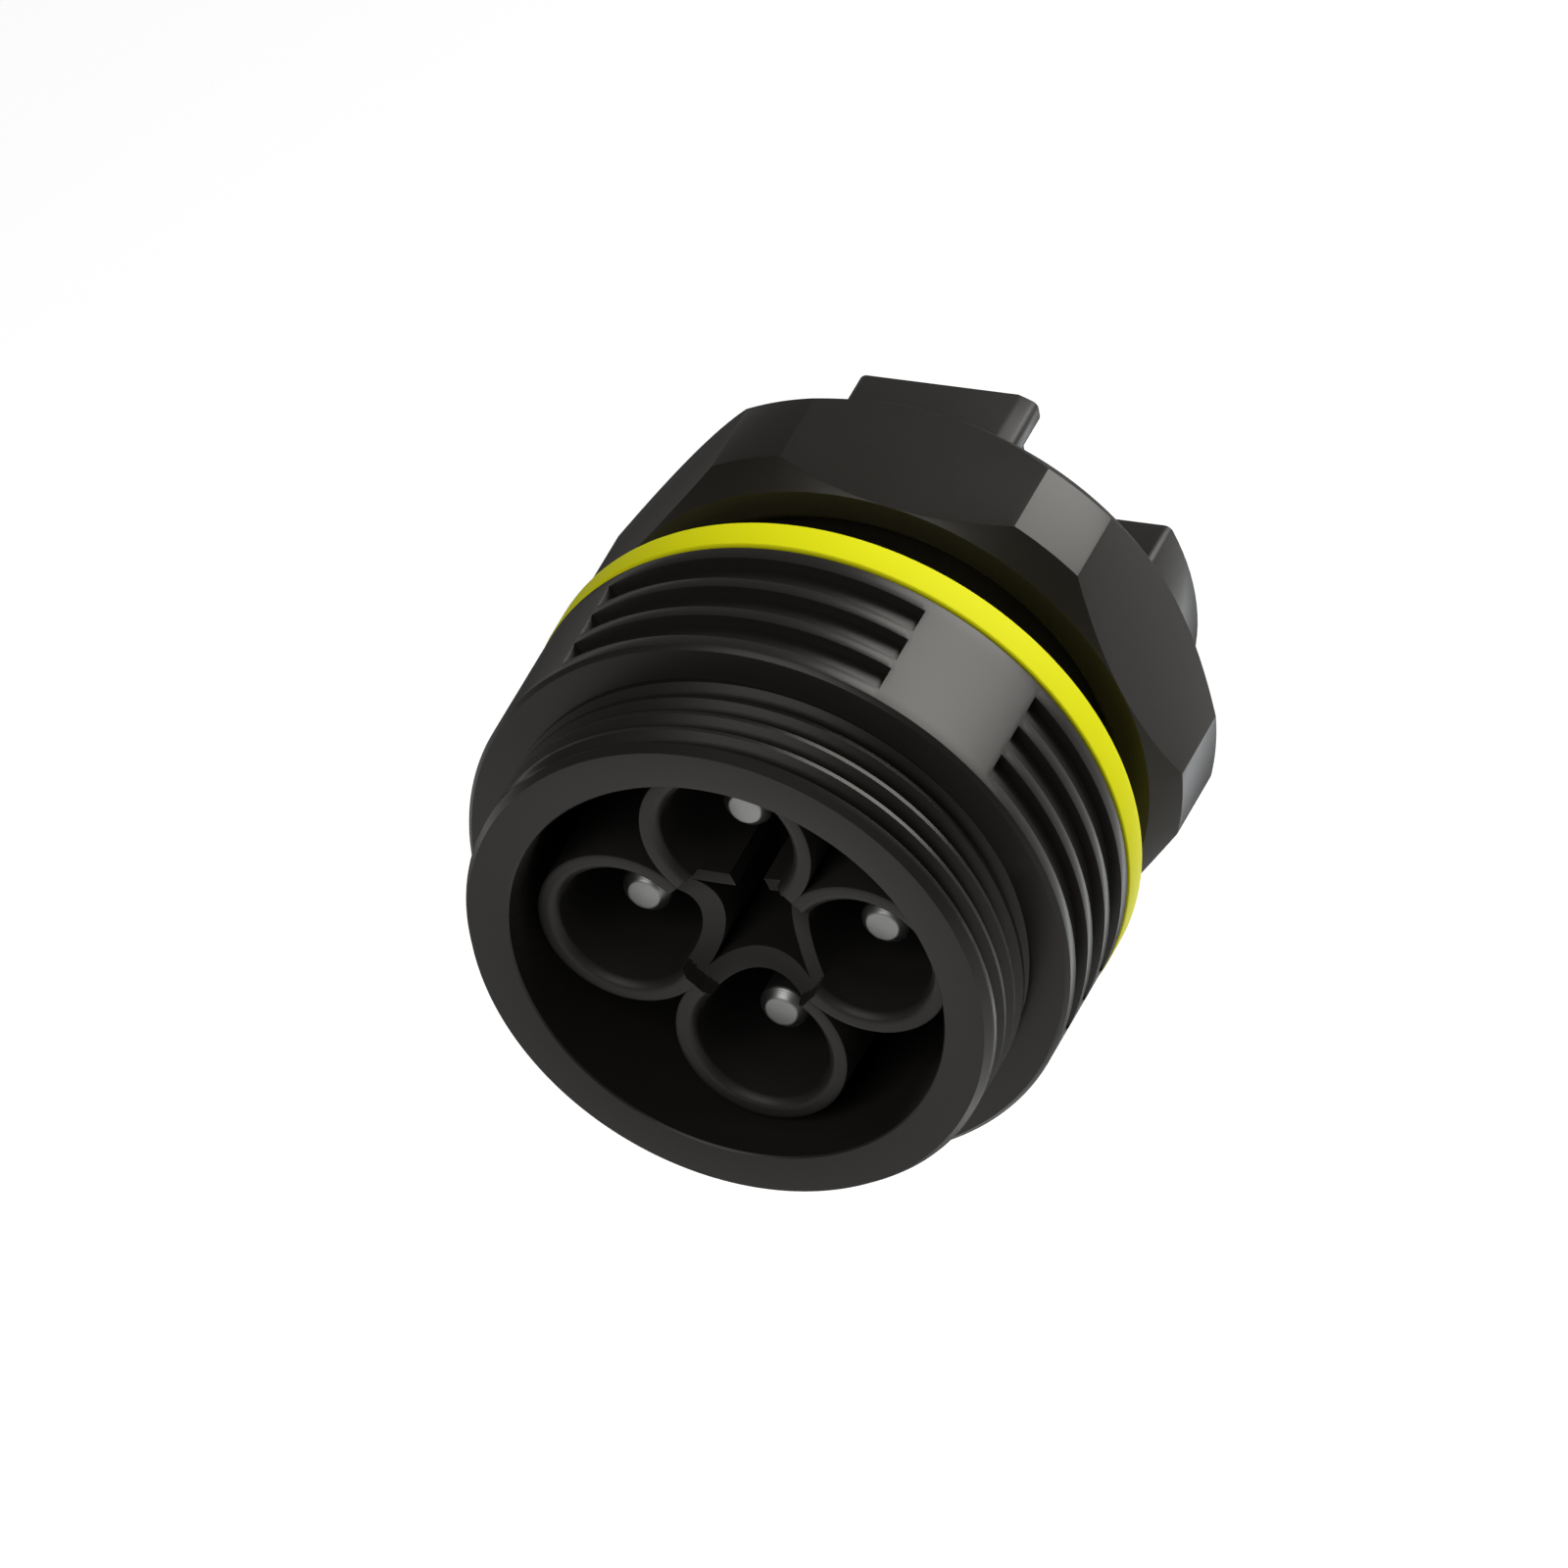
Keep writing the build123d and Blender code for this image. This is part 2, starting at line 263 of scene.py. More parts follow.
def extrude_ring(bm, ring, radius, height):
    """Next ring of a shell: the loop of edges is extruded and set to one radius and height."""
    made = bmesh.ops.extrude_edge_only(bm, edges=ring)["geom"]
    for vert in (item for item in made if isinstance(item, bmesh.types.BMVert)):
        flat = Vector((vert.co.x, vert.co.y, 0)).normalized() * radius
        vert.co = (flat.x, flat.y, height)
    return [item for item in made if isinstance(item, bmesh.types.BMEdge)]


def cut_plane(bm, point, normal, clear_inner=False, clear_outer=False):
    """Cuts a mesh along a plane and clears what lies behind it, in front of it or neither."""
    bmesh.ops.bisect_plane(
        bm,
        geom=bm.verts[:] + bm.edges[:] + bm.faces[:],
        dist=CUT_DISTANCE,
        plane_co=point,
        plane_no=normal,
        clear_inner=clear_inner,
        clear_outer=clear_outer,
    )


def turn_about_axis(bm, degrees):
    """Turns a mesh about the connector's axis."""
    turn = Matrix.Rotation(math.radians(degrees), 4, "Z")
    bmesh.ops.transform(bm, matrix=turn, verts=bm.verts[:])


def add_mesh(whole, bm):
    """Adds one mesh to another and frees it."""
    part = bpy.data.meshes.new("part")
    bm.to_mesh(part)
    bm.free()
    whole.from_mesh(part)
    bpy.data.meshes.remove(part)


def finish_piece(bm, name, replaced, material, angle=SHARP_ANGLE):
    bmesh.ops.transform(bm, matrix=LAY_OVER, verts=bm.verts[:])
    bmesh.ops.recalc_face_normals(bm, faces=bm.faces[:])
    mesh = bpy.data.meshes.new(name)
    bm.to_mesh(mesh)
    bm.free()
    mesh.polygons.foreach_set("use_smooth", [True] * len(mesh.polygons))
    mesh.set_sharp_from_angle(angle=math.radians(angle))
    piece = bpy.data.objects.new(name, mesh)
    bpy.context.scene.collection.objects.link(piece)
    mesh.materials.append(material)
    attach(piece, "root")
    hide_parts(*replaced)
    return piece


# Shader groups

def new_group(name, inputs, outputs):
    """Empty shader node group with named sockets, and its group input and output nodes."""
    group = bpy.data.node_groups.new(name, "ShaderNodeTree")
    for label, kind, default in inputs:
        socket = group.interface.new_socket(label, in_out="INPUT", socket_type=kind)
        if default is not None:
            socket.default_value = default
    for label, kind in outputs:
        group.interface.new_socket(label, in_out="OUTPUT", socket_type=kind)
    return group, group.nodes.new("NodeGroupInput"), group.nodes.new("NodeGroupOutput")


def link_finish(group, source, target, unevenness, relief, depth_label, relief_height):
    """Outputs of a finish: tone and roughness follow the unevenness, and the normal follows the relief."""
    nodes, links = group.nodes, group.links
    tone = nodes.new("ShaderNodeMix")
    tone.data_type = "RGBA"
    spread = nodes.new("ShaderNodeMapRange")
    bump = nodes.new("ShaderNodeBump")
    bump.inputs["Distance"].default_value = relief_height
    links.new(unevenness, tone.inputs["Factor"])
    links.new(source.outputs["Dark"], tone.inputs["A"])
    links.new(source.outputs["Light"], tone.inputs["B"])
    links.new(unevenness, spread.inputs["Value"])
    links.new(source.outputs["Smoothest"], spread.inputs["To Min"])
    links.new(source.outputs["Roughest"], spread.inputs["To Max"])
    links.new(relief, bump.inputs["Height"])
    links.new(source.outputs[depth_label], bump.inputs["Strength"])
    links.new(tone.outputs["Result"], target.inputs["Color"])
    links.new(spread.outputs["Result"], target.inputs["Roughness"])
    links.new(bump.outputs["Normal"], target.inputs["Normal"])


def moulded_surface_group():
    """Fine moulded grain: slightly uneven tone, roughness and normal."""
    group, source, target = new_group(
        "moulded surface",
        [
            ("Dark", "NodeSocketColor", (0.02, 0.02, 0.02, 1)),
            ("Light", "NodeSocketColor", (0.03, 0.03, 0.03, 1)),
            ("Smoothest", "NodeSocketFloat", 0.35),
            ("Roughest", "NodeSocketFloat", 0.5),
            ("Grain Scale", "NodeSocketFloat", 3000.0),
            ("Grain Depth", "NodeSocketFloat", 0.1),
        ],
        [("Color", "NodeSocketColor"), ("Roughness", "NodeSocketFloat"), ("Normal", "NodeSocketVector")],
    )
    nodes, links = group.nodes, group.links
    place = nodes.new("ShaderNodeTexCoord")
    flow = nodes.new("ShaderNodeTexNoise")
    flow.inputs["Scale"].default_value = FLOW_SCALE
    flow.inputs["Detail"].default_value = FLOW_DETAIL
    grain = nodes.new("ShaderNodeTexNoise")
    grain.inputs["Detail"].default_value = GRAIN_DETAIL
    links.new(place.outputs["Object"], flow.inputs["Vector"])
    links.new(place.outputs["Object"], grain.inputs["Vector"])
    links.new(source.outputs["Grain Scale"], grain.inputs["Scale"])
    link_finish(
        group, source, target, flow.outputs["Fac"], grain.outputs["Fac"], "Grain Depth", GRAIN_HEIGHT,
    )
    return group


def turned_metal_group():
    """Turned metal: fine rings round a centre, with slight stains in tone and roughness."""
    group, source, target = new_group(
        "turned metal",
        [
            ("Centre", "NodeSocketVector", None),
            ("Dark", "NodeSocketColor", (0.5, 0.5, 0.5, 1)),
            ("Light", "NodeSocketColor", (0.7, 0.7, 0.7, 1)),
            ("Smoothest", "NodeSocketFloat", 0.2),
            ("Roughest", "NodeSocketFloat", 0.35),
            ("Ring Depth", "NodeSocketFloat", 0.2),
        ],
        [("Color", "NodeSocketColor"), ("Roughness", "NodeSocketFloat"), ("Normal", "NodeSocketVector")],
    )
    nodes, links = group.nodes, group.links
    place = nodes.new("ShaderNodeTexCoord")
    centred = nodes.new("ShaderNodeVectorMath")
    centred.operation = "SUBTRACT"
    rings = nodes.new("ShaderNodeTexWave")
    rings.wave_type = "RINGS"
    rings.rings_direction = "SPHERICAL"
    rings.inputs["Scale"].default_value = RING_SCALE
    rings.inputs["Distortion"].default_value = RING_DISTORTION
    stains = nodes.new("ShaderNodeTexNoise")
    stains.inputs["Scale"].default_value = STAIN_SCALE
    stains.inputs["Detail"].default_value = STAIN_DETAIL
    links.new(place.outputs["Object"], centred.inputs[0])
    links.new(source.outputs["Centre"], centred.inputs[1])
    links.new(centred.outputs["Vector"], rings.inputs["Vector"])
    links.new(place.outputs["Object"], stains.inputs["Vector"])
    link_finish(
        group, source, target, stains.outputs["Fac"], rings.outputs["Fac"], "Ring Depth", RING_HEIGHT,
    )
    return group


MOULDED = moulded_surface_group()
TURNED = turned_metal_group()


def surface_material(name, group, values, constants):
    """Material whose group gives what changes over the surface; the shader's sockets hold the constants."""
    material = bpy.data.materials.new(name)
    material.use_nodes = True
    nodes, links = material.node_tree.nodes, material.node_tree.links
    shader = nodes["Principled BSDF"]
    finish = nodes.new("ShaderNodeGroup")
    finish.node_tree = group
    for label, value in values.items():
        finish.inputs[label].default_value = value
    for label, value in constants.items():
        shader.inputs[label].default_value = value
    links.new(finish.outputs["Color"], shader.inputs["Base Color"])
    links.new(finish.outputs["Roughness"], shader.inputs["Roughness"])
    links.new(finish.outputs["Normal"], shader.inputs["Normal"])
    return material


def matt_at_a_glance(material):
    """Takes the gloss off a material where it is seen at a flat angle, as fine moulded grain does."""
    nodes, links = material.node_tree.nodes, material.node_tree.links
    shader = nodes["Principled BSDF"]
    finish = shader.inputs["Roughness"].links[0].from_socket
    glance = nodes.new("ShaderNodeLayerWeight")
    rise = nodes.new("ShaderNodeMapRange")
    rise.inputs["From Min"].default_value = GLANCE_START
    rise.inputs["From Max"].default_value = GLANCE_END
    rise.inputs["To Max"].default_value = GLANCE_ROUGHNESS
    highest = nodes.new("ShaderNodeMath")
    highest.operation = "MAXIMUM"
    links.new(glance.outputs["Facing"], rise.inputs["Value"])
    links.new(rise.outputs["Result"], highest.inputs[0])
    links.new(finish, highest.inputs[1])
    links.new(highest.outputs["Value"], shader.inputs["Roughness"])
    return material


def grey(level, warmth=0.0):
    """Opaque grey, a little warm where asked."""
    return (level * (1 + warmth), level, level * (1 - warmth), 1)


def shell_plastic():
    """Black glass-filled plastic of the shell and nut, with a satin moulded face."""
    return matt_at_a_glance(surface_material(
        "black shell plastic",
        MOULDED,
        {"Dark": grey(0.013, warmth=0.12), "Light": grey(0.016, warmth=0.12),
         "Smoothest": 0.28, "Roughest": 0.38, "Grain Scale": 5200.0, "Grain Depth": 0.15},
        {"Metallic": 0.0, "IOR": PLASTIC_IOR, "Specular IOR Level": PLASTIC_SPECULAR,
         "Specular Tint": (1.0, 0.98, 0.92, 1)},
    ))


def insulator_plastic():
    """Black insulator plastic of the carrier and the terminal housing."""
    return matt_at_a_glance(surface_material(
        "black insulator plastic",
        MOULDED,
        {"Dark": grey(0.016, warmth=0.08), "Light": grey(0.02, warmth=0.08),
         "Smoothest": 0.38, "Roughest": 0.48, "Grain Scale": 6000.0, "Grain Depth": 0.12},
        {"Metallic": 0.0, "IOR": PLASTIC_IOR, "Specular IOR Level": PLASTIC_SPECULAR,
         "Specular Tint": (1.0, 0.98, 0.93, 1)},
    ))


def seal_rubber():
    """Bright yellow seal rubber with a soft sheen."""
    return surface_material(
        "yellow seal rubber",
        MOULDED,
        {"Dark": (0.78, 0.77, 0.003, 1), "Light": (0.82, 0.81, 0.005, 1),
         "Smoothest": 0.6, "Roughest": 0.7, "Grain Scale": 4200.0, "Grain Depth": 0.1},
        {"Metallic": 0.0, "IOR": 1.45, "Specular IOR Level": 0.12},
    )


def ring_rubber():
    """Black rubber of the hidden ring seal."""
    return surface_material(
        "black ring rubber",
        MOULDED,
        {"Dark": grey(0.012), "Light": grey(0.016),
         "Smoothest": 0.45, "Roughest": 0.6, "Grain Scale": 4000.0, "Grain Depth": 0.1},
        {"Metallic": 0.0, "IOR": 1.5},
    )


def plated_pin(name, angle):
    """Silver plating of one pin, with fine turning rings round the middle of its tip."""
    turn = math.radians(angle)
    centre = (POLE_CIRCLE * MM * math.cos(turn), -PIN_TIP * MM, POLE_CIRCLE * MM * math.sin(turn))
    return surface_material(
        "silver plating " + name,
        TURNED,
        {"Centre": centre, "Dark": (0.24, 0.24, 0.23, 1), "Light": (0.32, 0.32, 0.31, 1),
         "Smoothest": 0.36, "Roughest": 0.46, "Ring Depth": 0.2},
        {"Metallic": 1.0},
    )


def clamp_brass():
    """Milled brass of the terminal clamps."""
    return surface_material(
        "clamp brass",
        TURNED,
        {"Centre": (0, 0, 0), "Dark": (0.62, 0.45, 0.18, 1), "Light": (0.74, 0.56, 0.27, 1),
         "Smoothest": 0.28, "Roughest": 0.42, "Ring Depth": 0.3},
        {"Metallic": 1.0},
    )


def screw_zinc():
    """Zinc plated steel of the screws."""
    return surface_material(
        "screw zinc",
        TURNED,
        {"Centre": (0, 0, 0), "Dark": (0.52, 0.53, 0.55, 1), "Light": (0.64, 0.65, 0.67, 1),
         "Smoothest": 0.26, "Roughest": 0.4, "Ring Depth": 0.25},
        {"Metallic": 1.0},
    )


# Shell

def thread_outline(low, high):
    """Outline of many thread turns between two heights, crest to crest, with divided flanks."""
    flank = (THREAD_PITCH - THREAD_CREST - THREAD_ROOT) / 2
    points = []
    height = low
    while height < high:
        points.append((SLEEVE_RADIUS, height))
        points.append((SLEEVE_RADIUS, height + THREAD_CREST))
        for step in range(1, FLANK_STEPS):
            share = step / FLANK_STEPS
            points.append((SLEEVE_RADIUS - share * THREAD_DEPTH, height + THREAD_CREST + share * flank))
        points.append((SLEEVE_RADIUS - THREAD_DEPTH, height + THREAD_CREST + flank))
        points.append((SLEEVE_RADIUS - THREAD_DEPTH, height + THREAD_CREST + flank + THREAD_ROOT))
        for step in range(1, FLANK_STEPS):
            share = 1 - step / FLANK_STEPS
            points.append((SLEEVE_RADIUS - share * THREAD_DEPTH, height + THREAD_PITCH - share * flank))
        height += THREAD_PITCH
    points.append((SLEEVE_RADIUS, height))
    return points


def boundary_ring(bm, height):
    """Open edges that lie at one height."""
    return [
        edge for edge in bm.edges
        if edge.is_boundary and all(abs(vert.co.z - height) < MERGE_DISTANCE for vert in edge.verts)
    ]


def groove_share(place):
    """How much of its full depth the thread groove at a place has, which runs out just behind the rim."""
    turns = (math.atan2(place.y, place.x) - math.radians(THREAD_TURN)) / FULL_TURN
    crests = (place.z - SHOULDER - THREAD_CREST / 2) / THREAD_PITCH - turns
    groove_height = SHOULDER + THREAD_CREST / 2 + THREAD_PITCH * (math.floor(crests) + 0.5 + turns)
    share = min(1.0, max(0.0, (RIM - groove_height - THREAD_END_DEPTH) / THREAD_FADE))
    return share * share * (3 - 2 * share)


def thread_surface():
    """Open screw surface of the coupling thread, cut flat at the shoulder and the rim."""
    bm = profile_mesh(thread_outline(SHOULDER - 2 * THREAD_PITCH, RIM + THREAD_PITCH), closed=False)
    spin_profile(bm, steps=THREAD_STEPS, rise=THREAD_PITCH)
    turn_about_axis(bm, THREAD_TURN)
    cut_plane(bm, (0, 0, SHOULDER), (0, 0, 1), clear_inner=True)
    cut_plane(bm, (0, 0, RIM), (0, 0, 1), clear_outer=True)
    for vert in bm.verts:
        radius = math.hypot(vert.co.x, vert.co.y)
        set_to = min(
            SLEEVE_RADIUS - (SLEEVE_RADIUS - radius) * groove_share(vert.co),
            SLEEVE_RADIUS - THREAD_LEAD_DROP * max(0.0, 1 - (RIM - vert.co.z) / THREAD_LEAD_LENGTH),
        )
        vert.co.x *= set_to / radius
        vert.co.y *= set_to / radius
    return bm


def slot_heights():
    """Low and high edge of each ring of slots, from the shoulder down."""
    middles = [SLOT_CENTRE + (step - (SLOT_COUNT - 1) / 2) * SLOT_PITCH for step in range(SLOT_COUNT)]
    return [(middle - SLOT_WIDTH / 2, middle + SLOT_WIDTH / 2) for middle in reversed(middles)]


def in_slot(face):
    """True for a face of the grip body that lies in a slot and not on a pad."""
    centre = face.calc_center_median()
    if math.hypot(centre.x, centre.y) < BODY_RADIUS - BODY_CHAMFER / 2:
        return False
    inside = any(low < centre.z < high for low, high in slot_heights())
    angle = math.degrees(math.atan2(centre.y, centre.x))
    off_pad = (angle - PAD_ANGLE + 180 / PAD_COUNT) % (360 / PAD_COUNT) - 180 / PAD_COUNT
    return inside and abs(off_pad) > PAD_HALF_ANGLE


def cut_slots(bm):
    """Sinks the slot faces of the grip body straight inwards."""
    faces = [face for face in bm.faces if in_slot(face)]
    made = bmesh.ops.extrude_face_region(bm, geom=faces)["geom"]
    bmesh.ops.delete(bm, geom=faces, context="FACES")
    sunk = (BODY_RADIUS - SLOT_DEPTH) / BODY_RADIUS
    for vert in (item for item in made if isinstance(item, bmesh.types.BMVert)):
        vert.co.x *= sunk
        vert.co.y *= sunk


def body_outline():
    """Corners of the shell from the shoulder round the stem to the mouth, as (radius, height)."""
    outline = [(BODY_RADIUS - BODY_CHAMFER, SHOULDER), (BODY_RADIUS, SHOULDER - BODY_CHAMFER)]
    for low, high in slot_heights():
        outline += [(BODY_RADIUS, high), (BODY_RADIUS, low)]
    outline += [
        (BODY_RADIUS, BODY_REAR + BODY_CHAMFER),
        (BODY_RADIUS - BODY_CHAMFER, BODY_REAR),
        (STEM_RADIUS, BODY_REAR),
        (STEM_RADIUS, 0.0),
        (STEM_RADIUS, STEM_REAR + STEM_CHAMFER),
        (STEM_RADIUS - STEM_CHAMFER, STEM_REAR),
        (STEM_BORE, STEM_REAR),
        (STEM_BORE, BODY_REAR),
        (MOUTH_RADIUS, BODY_REAR),
        (MOUTH_RADIUS, RIM - MOUTH_CHAMFER),
        (MOUTH_RADIUS + MOUTH_CHAMFER, RIM),
    ]
    return outline


def on_thread(edge):
    """True for an edge of the thread itself, which keeps its crisp crests."""
    middle = (edge.verts[0].co + edge.verts[1].co) / 2
    radius = math.hypot(middle.x, middle.y)
    on_outside = (MOUTH_RADIUS + SLEEVE_RADIUS) / 2 < radius < SLEEVE_RADIUS + MERGE_DISTANCE
    return on_outside and middle.z > SHOULDER + 2 * MERGE_DISTANCE


def make_shell(material):
    """Shell: screw thread, grip body with its slots, stem and bore as one closed skin."""
    bm = thread_surface()
    ring = boundary_ring(bm, SHOULDER)
    for radius, height in body_outline():
        ring = extrude_ring(bm, ring, radius, height)
    rim_edges = [edge for edge in boundary_ring(bm, RIM) if edge not in ring]
    bmesh.ops.bridge_loops(bm, edges=ring + rim_edges)
    cut_slots(bm)
    for vert in bm.verts:
        if vert.co.z < 0 and vert.co.y > STEM_FLAT:
            vert.co.y = STEM_FLAT
    bmesh.ops.recalc_face_normals(bm, faces=bm.faces[:])
    before_panel = [edge for edge in sharp_edges(bm) if edge.verts[0].co.z > -MERGE_DISTANCE]
    soften(bm, [edge for edge in before_panel if not on_thread(edge)], SHELL_ROUND)
    return finish_piece(bm, "shell", ["body_shell"], material, SHELL_SHARP_ANGLE)


# Seal and nut

def make_seal(material):
    """Yellow ring with rounded edges."""
    bm = lathe([
        (SEAL_BORE, 0), (SEAL_RADIUS, 0), (SEAL_RADIUS, SEAL_THICKNESS), (SEAL_BORE, SEAL_THICKNESS),
    ])
    soften(bm, sharp_edges(bm), SEAL_ROUND, segments=5)
    return finish_piece(bm, "yellow_seal", ["panel_seal"], material)


def nut_outline():
    """Section of the nut through a turned-off corner, from the bore's front edge to the bore."""
    end = NUT_REAR - NUT_REAR_BEVEL
    return [
        (NUT_BORE + NUT_BORE_CHAMFER, NUT_FRONT),
        (NUT_CORNER - NUT_BEVEL, NUT_FRONT),
        (NUT_CORNER, NUT_FRONT - NUT_BEVEL),
        (NUT_CORNER, NUT_REAR),
        (NUT_CORNER - NUT_BEVEL, end),
        (NUT_BORE + NUT_BORE_CHAMFER, end),
        (NUT_BORE, end + NUT_BORE_CHAMFER),
        (NUT_BORE, NUT_FRONT - NUT_BORE_CHAMFER),
    ]


def press_flats(bm):
    """Presses the turned ring in to the nut's flats, whose ends then curve along the two bevels."""
    side = 360 / NUT_SIDES
    for vert in bm.verts:
        radius = math.hypot(vert.co.x, vert.co.y)
        angle = (math.degrees(math.atan2(vert.co.y, vert.co.x)) + side / 2) % side - side / 2
        limit = NUT_FLAT / math.cos(math.radians(angle))
        if radius > limit:
            vert.co.x *= limit / radius
            vert.co.y *= limit / radius
            if vert.co.z > NUT_REAR + MERGE_DISTANCE:
                vert.co.z = NUT_FRONT - (limit - (NUT_CORNER - NUT_BEVEL))
            else:
                vert.co.z = NUT_REAR - (NUT_CORNER - limit) * NUT_REAR_BEVEL / NUT_BEVEL


def make_nut(material):
    """Hexagon nut with its corners turned off and both ends bevelled."""
    side = 360 / NUT_SIDES
    half_flat = math.degrees(math.acos(NUT_FLAT / NUT_CORNER))
    bm = profile_mesh(nut_outline())
    geom = bm.verts[:] + bm.edges[:]
    flat_and_corner = [(2 * half_flat, NUT_FLAT_STEPS), (side - 2 * half_flat, NUT_CORNER_STEPS)]
    for degrees, steps in flat_and_corner * NUT_SIDES:
        made = bmesh.ops.spin(
            bm, geom=geom, cent=(0, 0, 0), axis=(0, 0, 1), dvec=(0, 0, 0),
            angle=math.radians(degrees), steps=steps, use_merge=False,
        )
        geom = made["geom_last"]
    bmesh.ops.remove_doubles(bm, verts=bm.verts[:], dist=MERGE_DISTANCE)
    turn_about_axis(bm, -half_flat)
    press_flats(bm)
    turn_about_axis(bm, NUT_ANGLE - side / 2)
    bmesh.ops.recalc_face_normals(bm, faces=bm.faces[:])
    soften(bm, sharp_edges(bm, NUT_ROUND_ANGLE), NUT_ROUND, segments=3)
    return finish_piece(bm, "hexagon_nut", ["lock_nut"], material)


# Contact carrier

def tube_outline():
    """Section of one tube wall, from its outer foot over the bevelled mouth to its inner foot."""
    foot = CARRIER_FLOOR - TUBE_SINK
    below_scoop = CARRIER_FRONT - SCOOP_DEPTH - SCOOP_MARGIN
    chamfer_low = CARRIER_FRONT - TUBE_CHAMFER
    chamfer_radius = TUBE_BORE + TUBE_CHAMFER
    return [
        (TUBE_RADIUS, foot),
        (TUBE_RADIUS, below_scoop),
        (TUBE_RADIUS, CARRIER_FRONT - TUBE_ROUND),
        (TUBE_RADIUS - TUBE_ROUND_MIDDLE, CARRIER_FRONT - TUBE_ROUND_MIDDLE),
        (TUBE_RADIUS - TUBE_ROUND, CARRIER_FRONT),
        *[(TUBE_RADIUS - inset, CARRIER_FRONT) for inset in TUBE_RIM_INSETS],
        (chamfer_radius + TUBE_ROUND, CARRIER_FRONT),
        (chamfer_radius - TUBE_EASE, CARRIER_FRONT - TUBE_EASE_TOP_DROP),
        (TUBE_BORE + TUBE_EASE, chamfer_low),
        (TUBE_BORE, chamfer_low - TUBE_EASE_LOW_DROP),
        (TUBE_BORE, below_scoop),
        (TUBE_BORE, foot),
    ]


def scoop_drop(radius):
    """How far the tube walls are lowered at a radius from the connector's axis."""
    if radius >= SCOOP_RADIUS:
        return 0.0
    return SCOOP_DEPTH - radius * radius / (2 * SCOOP_BOWL_RADIUS)


def lower_walls(bm):
    """Cuts the mouth of the tube walls down to the scoop."""
    for vert in bm.verts:
        vert.co.z = min(vert.co.z, CARRIER_FRONT - scoop_drop(math.hypot(vert.co.x, vert.co.y)))


def make_tube(keyed):
    """One tube on the X axis, cut at the planes where it joins its neighbours."""
    bm = profile_mesh(tube_outline())
    spin_profile(bm, steps=TUBE_STEPS)
    bmesh.ops.translate(bm, vec=(POLE_CIRCLE, 0, 0), verts=bm.verts[:])
    for side in (1, -1):
        cut_plane(bm, (0, 0, 0), (-1, side, 0), clear_outer=True)
    if keyed:
        cut_keyway(bm)
    lower_walls(bm)
    return bm


def cut_keyway(bm):
    """Cuts the keyway through the wall that faces the middle and closes its two cheeks."""
    for side in (1, -1):
        cut_plane(bm, (0, side * KEYWAY_HALF, 0), (0, 1, 0))
    inside = [
        face for face in bm.faces
        if abs(face.calc_center_median().y) < KEYWAY_HALF and face.calc_center_median().x < POLE_CIRCLE
    ]
    bmesh.ops.delete(bm, geom=inside, context="FACES")
    for side in (1, -1):
        place = side * KEYWAY_HALF
        cheek = [
            edge for edge in bm.edges
            if edge.is_boundary and all(abs(vert.co.y - place) < MERGE_DISTANCE for vert in edge.verts)
        ]
        bmesh.ops.contextual_create(bm, geom=cheek)


def make_carrier(material):
    """Contact carrier: four joined tubes standing on a flange."""
    whole = bmesh.new()
    for pole, angle in POLES.items():
        tube = make_tube(keyed=pole == "top")
        turn_about_axis(tube, angle)
        add_mesh(whole, tube)
    bmesh.ops.remove_doubles(whole, verts=whole.verts[:], dist=MERGE_DISTANCE * 4)
    add_mesh(whole, lathe([
        (0, SPIGOT_LOW), (SPIGOT_RADIUS, SPIGOT_LOW), (SPIGOT_RADIUS, BODY_REAR),
        (CARRIER_FLANGE, BODY_REAR), (CARRIER_FLANGE, CARRIER_FLOOR), (0, CARRIER_FLOOR),
    ]))
    replaced = ["carrier_base"] + ["contact_shroud_" + pole for pole in POLES]
    return finish_piece(whole, "carrier", replaced, material, CARRIER_SHARP_ANGLE)


# Pins

def make_pin(name, angle):
    """Turned pin with a bevelled nose, on its pole."""
    bm = lathe(
        [
            (0, PIN_TIP), (PIN_NOSE_RADIUS, PIN_TIP), (PIN_RADIUS, PIN_TIP - PIN_NOSE_LENGTH),
            (PIN_RADIUS, PIN_COLLAR_TOP), (PIN_COLLAR_RADIUS, PIN_COLLAR_TOP),
            (PIN_COLLAR_RADIUS, PIN_COLLAR_LOW), (PIN_RADIUS, PIN_COLLAR_LOW), (PIN_RADIUS, PIN_SHOULDER),
            (PIN_TAIL_RADIUS, PIN_SHOULDER), (PIN_TAIL_RADIUS, PIN_END), (0, PIN_END),
        ],
        PIN_STEPS,
        PIN_ROUND,
        segments=3,
    )
    bmesh.ops.translate(bm, vec=(POLE_CIRCLE, 0, 0), verts=bm.verts[:])
    turn_about_axis(bm, angle)
    return finish_piece(bm, "pin_" + name, ["contact_pin_" + name], plated_pin(name, angle))


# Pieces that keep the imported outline, with their edges eased

def eased_copy(node, name, material, width):
    """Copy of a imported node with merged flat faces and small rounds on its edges."""
    bm = bmesh.new()
    bm.from_mesh(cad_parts[node].data)
    bmesh.ops.transform(bm, matrix=LAY_OVER.inverted(), verts=bm.verts[:])
    bmesh.ops.remove_doubles(bm, verts=bm.verts[:], dist=MERGE_DISTANCE)
    bmesh.ops.dissolve_limit(
        bm, angle_limit=math.radians(FLAT_ANGLE), use_dissolve_boundaries=False,
        verts=bm.verts[:], edges=bm.edges[:],
    )
    soften(bm, sharp_edges(bm, COPY_ROUND_ANGLE), width)
    return finish_piece(bm, name, [node], material)


# Camera, lamps, floor and world

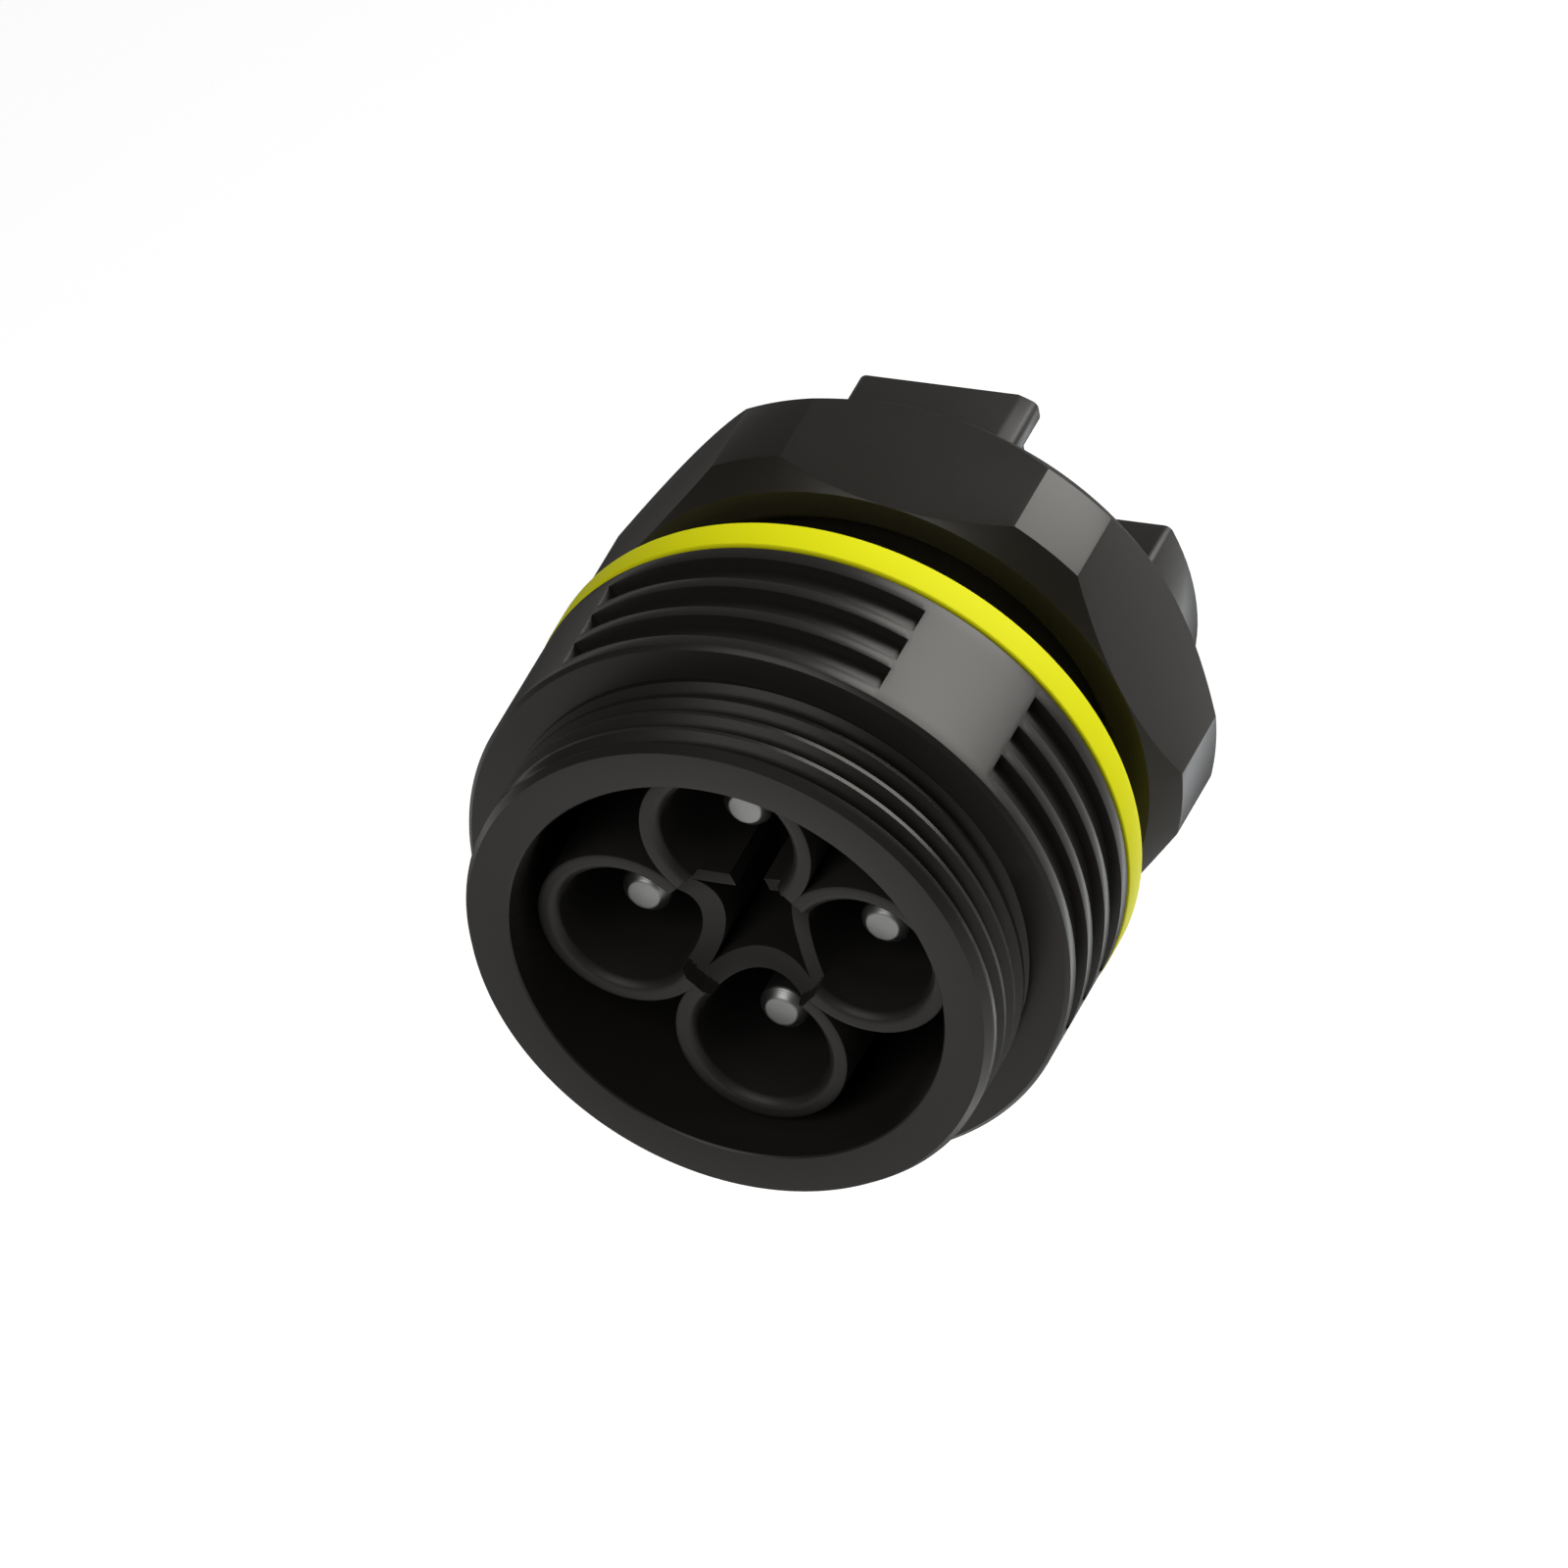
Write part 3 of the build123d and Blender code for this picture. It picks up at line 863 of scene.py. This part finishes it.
def make_camera():
    """Camera at the photograph's angle, from far off so that the view has almost no perspective."""
    data = bpy.data.cameras.new("camera")
    data.sensor_width = SENSOR
    data.lens = SENSOR * VIEW_DISTANCE / (VIEW_WIDTH * MM)
    data.clip_end = VIEW_END
    camera = bpy.data.objects.new("camera", data)
    bpy.context.scene.collection.objects.link(camera)
    target = Vector((0, -RIM * MM, 0)) + (VIEW_RIGHT * VIEW_SHIFT_RIGHT + VIEW_UP * VIEW_SHIFT_UP) * MM
    turn = Matrix((VIEW_RIGHT, VIEW_UP, VIEW_RIGHT.cross(VIEW_UP))).transposed()
    camera.matrix_world = Matrix.Translation(target + VIEW_BACK * VIEW_DISTANCE) @ turn.to_4x4()
    bpy.context.scene.camera = camera
    return camera


def make_lamp(name, direction, distance, size, power, color=(1.0, 1.0, 1.0)):
    """Soft square lamp that faces the middle of the connector."""
    data = bpy.data.lights.new(name, "AREA")
    data.shape = "SQUARE"
    data.size = size
    data.energy = power
    data.color = color
    lamp = bpy.data.objects.new(name, data)
    bpy.context.scene.collection.objects.link(lamp)
    place = Vector(direction).normalized() * distance
    lamp.location = place
    lamp.rotation_euler = place.to_track_quat("Z", "Y").to_euler()
    return lamp


def seen_as_background(nodes, links):
    """Mask of the rays that see the background: from the camera, in gloss and through glass."""
    path = nodes.new("ShaderNodeLightPath")
    either = nodes.new("ShaderNodeMath")
    either.operation = "MAXIMUM"
    any_of_three = nodes.new("ShaderNodeMath")
    any_of_three.operation = "MAXIMUM"
    links.new(path.outputs["Is Camera Ray"], either.inputs[0])
    links.new(path.outputs["Is Glossy Ray"], either.inputs[1])
    links.new(either.outputs["Value"], any_of_three.inputs[0])
    links.new(path.outputs["Is Transmission Ray"], any_of_three.inputs[1])
    return any_of_three.outputs["Value"]


def pale_floor():
    """Floor that shows white in the picture and in reflections, and keeps the object's shadow."""
    material = bpy.data.materials.new("pale floor")
    material.use_nodes = True
    nodes, links = material.node_tree.nodes, material.node_tree.links
    shader = nodes["Principled BSDF"]
    shader.inputs["Base Color"].default_value = grey(FLOOR_TONE)
    shader.inputs["Roughness"].default_value = 1.0
    shader.inputs["Specular IOR Level"].default_value = 0.0
    shader.inputs["Emission Color"].default_value = (1, 1, 1, 1)
    glow = nodes.new("ShaderNodeMath")
    glow.operation = "MULTIPLY"
    glow.inputs[1].default_value = FLOOR_GLOW
    links.new(seen_as_background(nodes, links), glow.inputs[0])
    links.new(glow.outputs["Value"], shader.inputs["Emission Strength"])
    bm = bmesh.new()
    height = Matrix.Translation((0, 0, FLOOR_HEIGHT))
    bmesh.ops.create_grid(bm, x_segments=1, y_segments=1, size=FLOOR_SIZE, matrix=height)
    mesh = bpy.data.meshes.new("floor")
    bm.to_mesh(mesh)
    bm.free()
    mesh.materials.append(material)
    floor = bpy.data.objects.new("floor", mesh)
    bpy.context.scene.collection.objects.link(floor)
    return floor


def make_world():
    """Even grey surroundings that light the object from all round."""
    world = bpy.data.worlds.new("studio")
    bpy.context.scene.world = world
    world.use_nodes = True
    nodes = world.node_tree.nodes
    nodes["Background"].inputs["Color"].default_value = (1, 1, 1, 1)
    nodes["Background"].inputs["Strength"].default_value = WORLD_LEVEL


def main():
    """Sets up the studio and makes every piece."""
    bpy.context.scene.view_settings.view_transform = "Standard"
    make_camera()
    make_world()
    pale_floor()
    make_lamp("key lamp", **KEY_LAMP)
    make_lamp("front lamp", **FRONT_LAMP)
    make_lamp("low back lamp", **LOW_BACK_LAMP)
    shell = shell_plastic()
    insulator = insulator_plastic()
    zinc = screw_zinc()
    brass = clamp_brass()
    make_shell(shell)
    make_seal(seal_rubber())
    make_nut(shell)
    make_carrier(insulator)
    eased_copy("terminal_housing", "housing", insulator, HOUSING_ROUND)
    for name, angle in POLES.items():
        make_pin(name, angle)
        eased_copy("terminal_clamp_" + name, "clamp_" + name, brass, CLAMP_ROUND)
    eased_copy("terminal_screws", "clamp_screws", zinc, CLAMP_SCREW_ROUND)
    eased_copy("assembly_screw", "centre_screw", zinc, CENTRE_SCREW_ROUND)
    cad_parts["carrier_seal"].data.materials.clear()
    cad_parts["carrier_seal"].data.materials.append(ring_rubber())


main()
